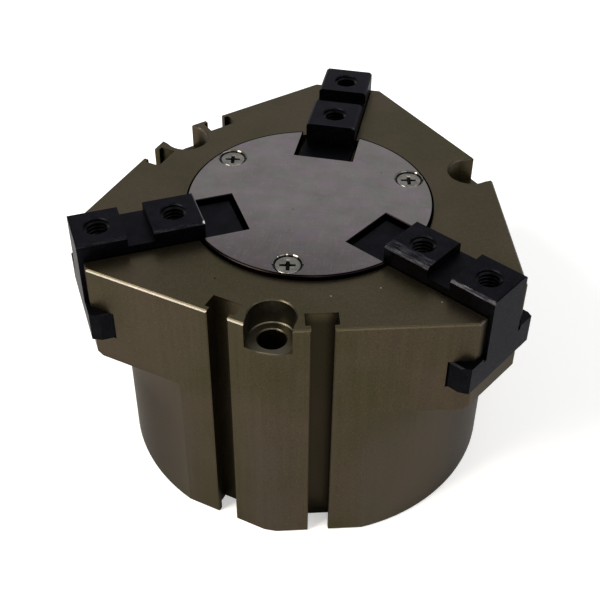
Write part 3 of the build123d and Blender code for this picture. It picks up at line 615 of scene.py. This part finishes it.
def hole_points(name, mouths):
    """Starting mesh with a point at each hole's mouth and the way out of the hole."""
    mesh = bpy.data.meshes.new(name)
    mesh.from_pydata([place * MM for place, _ in mouths], [], [])
    axes = mesh.attributes.new("axis", "FLOAT_VECTOR", "POINT")
    for item, (_, axis) in zip(axes.data, mouths):
        item.vector = axis
    return mesh


def threads():
    """M6 in the jaw holes, Rc 1/8 in the air ports."""
    tree = thread_tree()
    values = {label: size * MM for label, size in JAW_THREAD.items()}
    values["Material"] = TAPPED_STEEL
    for letter, angle in JAW_ANGLES.items():
        start = PAD_TOP - JAW_THREAD_START
        mouths = [(around(angle, radius, start), Vector((0, 0, 1))) for radius in JAW_HOLES]
        name = "jaw_%s_threads" % letter
        grow(name, hole_points(name, mouths), tree, values, "jaw_" + letter)
    values = {label: size * MM for label, size in PORT_THREAD.items()}
    values["Material"] = TAPPED_ALUMINIUM
    start = FLAT_DISTANCE - PORT_THREAD_START
    mouths = [(around(angle, start, height), around(angle)) for angle, height in PORTS]
    grow("port_threads", hole_points("port_threads", mouths), tree, values, "housing")


def screw_ring_tree():
    """The starting mesh repeated at even steps round a circle, every one turned the same way."""
    sizes = {"Circle radius": "Float", "Count": "Int", "First angle": "Float", "Height": "Float"}
    sizes.update({"Slot turn": "Float", "Material": "Material"})
    tree, given, out = empty_tree("screws_on_circle", sizes)
    ring = {"Vertices": given["Count"], "Radius": given["Circle radius"]}
    circle = add(tree, "GeometryNodeMeshCircle", named=ring)
    spin = add(tree, "ShaderNodeCombineXYZ", None, None, given["First angle"])
    lift = add(tree, "ShaderNodeCombineXYZ", None, None, given["Height"])
    seats = add(tree, "GeometryNodeTransform", circle, named={"Translation": lift, "Rotation": spin})
    turn = add(tree, "ShaderNodeCombineXYZ", None, None, given["Slot turn"])
    placed = {"Instance": given["Geometry"], "Rotation": turn}
    screws = add(tree, "GeometryNodeInstanceOnPoints", seats, named=placed)
    real = add(tree, "GeometryNodeRealizeInstances", screws)
    tree.links.new(add(tree, "GeometryNodeSetMaterial", real, None, given["Material"]), out.inputs[0])
    return tree


def lofted(name, rings):
    """Closed mesh through rings of points in millimetres, capped at both ends."""
    made = bmesh.new()
    rows = [[made.verts.new(Vector(point) * MM) for point in ring] for ring in rings]
    for lower, upper in zip(rows, rows[1:]):
        for i in range(len(lower)):
            j = (i + 1) % len(lower)
            made.faces.new((lower[i], lower[j], upper[j], upper[i]))
    made.faces.new(list(reversed(rows[0])))
    made.faces.new(rows[-1])
    bmesh.ops.recalc_face_normals(made, faces=made.faces)
    mesh = bpy.data.meshes.new(name)
    made.to_mesh(mesh)
    made.free()
    return mesh


def countersunk_screw():
    """M4 countersunk screw with a cross recess, the top of its head at zero height."""
    rings = [[around(turn, radius, height) for turn in range(0, 360, 5)] for radius, height in SCREW_PROFILE]
    recess = []
    for reach, half, height in RECESS_WINGS:
        ring = []
        corner = half * RECESS_CORNER
        for turn in range(0, 360, 90):
            spin = Matrix.Rotation(math.radians(turn), 3, "Z")
            ring += [spin @ Vector((reach, -half, height)), spin @ Vector((reach, half, height))]
            ring.append(spin @ Vector((corner, corner, height)))
        recess.append(ring)
    blank = new_piece("screw_blank", lofted("screw_blank", rings))
    cutter = new_piece("cross_recess", lofted("cross_recess", recess))
    cut = blank.modifiers.new("recess", "BOOLEAN")
    cut.operation, cut.solver, cut.object = "DIFFERENCE", "EXACT", cutter
    mesh = as_evaluated(blank)
    bpy.data.objects.remove(blank)
    bpy.data.objects.remove(cutter)
    return mesh


def cover_screws():
    """The cover plate's screws, which stand in for the plain ones of the CAD."""
    values = {
        "Circle radius": SCREW_CIRCLE * MM,
        "Count": len(SCREW_ANGLES),
        "First angle": math.radians(SCREW_ANGLES[0]),
        "Height": (COVER_TOP - SCREW_SINK) * MM,
        "Slot turn": math.radians(SCREW_SLOT_TURN),
        "Material": SCREW_STEEL,
    }
    piece = grow("cover_screws", countersunk_screw(), screw_ring_tree(), values, "housing")
    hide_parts("cover_screw_1", "cover_screw_2", "cover_screw_3")


threads()
cover_screws()


# Floor, light and camera


def pale_floor():
    """White paper under the chuck: it takes the shadow, and the camera sees it nearly white."""
    half = 3.0
    corners = [(-half, -half, 0), (half, -half, 0), (half, half, 0), (-half, half, 0)]
    mesh = bpy.data.meshes.new("floor")
    mesh.from_pydata(corners, [], [(0, 1, 2, 3)])
    piece = new_piece("floor", mesh)
    material, tree, shader = start_material("white_paper", 0.0)
    shader.inputs["Base Color"].default_value = srgb("#efefef")
    shader.inputs["Roughness"].default_value = 0.9
    shader.inputs["Specular IOR Level"].default_value = 0.0
    shader.inputs["Emission Color"].default_value = (1, 1, 1, 1)
    seen = add(tree, "ShaderNodeLightPath", out="Is Camera Ray")
    glow = add(tree, "ShaderNodeMath", seen, 0.4, operation="MULTIPLY")
    tree.links.new(glow, shader.inputs["Emission Strength"])
    piece.data.materials.append(material)


def studio():
    """Even pale surroundings; the camera, metal and glass see them as white."""
    world = bpy.data.worlds.new("studio")
    bpy.context.scene.world = world
    world.use_nodes = True
    tree = world.node_tree
    path = tree.nodes.new("ShaderNodeLightPath")
    mirrored = (path.outputs["Is Glossy Ray"], path.outputs["Is Transmission Ray"])
    seen = add(tree, "ShaderNodeMath", *mirrored, operation="MAXIMUM")
    seen = add(tree, "ShaderNodeMath", seen, path.outputs["Is Camera Ray"], operation="MAXIMUM")
    strength = add(tree, "ShaderNodeMapRange", seen, 0.0, 1.0, 0.4, 1.0)
    background = tree.nodes["Background"]
    background.inputs["Color"].default_value = (1, 1, 1, 1)
    tree.links.new(strength, background.inputs["Strength"])


def towards(azimuth, elevation):
    """Direction out from the chuck, from two angles in degrees."""
    return around(azimuth, math.cos(math.radians(elevation)), math.sin(math.radians(elevation)))


def softbox(name, azimuth, elevation, distance, size, power, colour):
    """Square soft light aimed at the middle of the chuck, in degrees, metres and watts."""
    lamp = bpy.data.lights.new(name, "AREA")
    lamp.shape, lamp.size, lamp.energy, lamp.color = "SQUARE", size, power, srgb(colour)[:3]
    holder = bpy.data.objects.new(name, lamp)
    bpy.context.scene.collection.objects.link(holder)
    out = towards(azimuth, elevation)
    holder.location = Vector((0, 0, BODY_TOP / 2 * MM)) + out * distance
    holder.rotation_euler = out.to_track_quat("Z", "Y").to_euler()


def camera():
    """Camera fitted to the photograph: in front, a little to the right, 41 degrees down."""
    azimuth, elevation, roll = 280.535, 41.239, math.radians(0.91)
    distance, pixels_long, frame_pixels = 0.289695, 1076.593, 600
    shift_right, shift_down = 8.219, 6.157
    aim_below_top = 34.5
    target = Vector((0, 0, (BODY_TOP - aim_below_top) * MM))
    back = towards(azimuth, elevation)
    right = Vector((0, 0, 1)).cross(back).normalized()
    up = back.cross(right)
    right, up = math.cos(roll) * right + math.sin(roll) * up, math.cos(roll) * up - math.sin(roll) * right
    lens = bpy.data.cameras.new("camera")
    lens.sensor_width = 36.0
    lens.lens = lens.sensor_width * pixels_long / frame_pixels
    lens.shift_x, lens.shift_y = -shift_right / frame_pixels, shift_down / frame_pixels
    lens.clip_start, lens.clip_end = 0.01, 20.0
    holder = bpy.data.objects.new("camera", lens)
    bpy.context.scene.collection.objects.link(holder)
    turn = Matrix((right, up, back)).transposed().to_4x4()
    holder.matrix_world = Matrix.Translation(target + back * distance) @ turn
    bpy.context.scene.camera = holder


pale_floor()
studio()
softbox("key_front_left", 220, 41, 0.9, 0.38, 9.0, "#fff6e6")
softbox("small_front", 288, 49, 1.0, 0.16, 0.7, "#fff6e6")
softbox("small_right", 354, 34, 1.0, 0.2, 0.7, "#ffffff")
softbox("fill_right", 345, 64, 1.2, 0.9, 3.5, "#ffffff")
camera()
bpy.context.scene.view_settings.view_transform = "Standard"
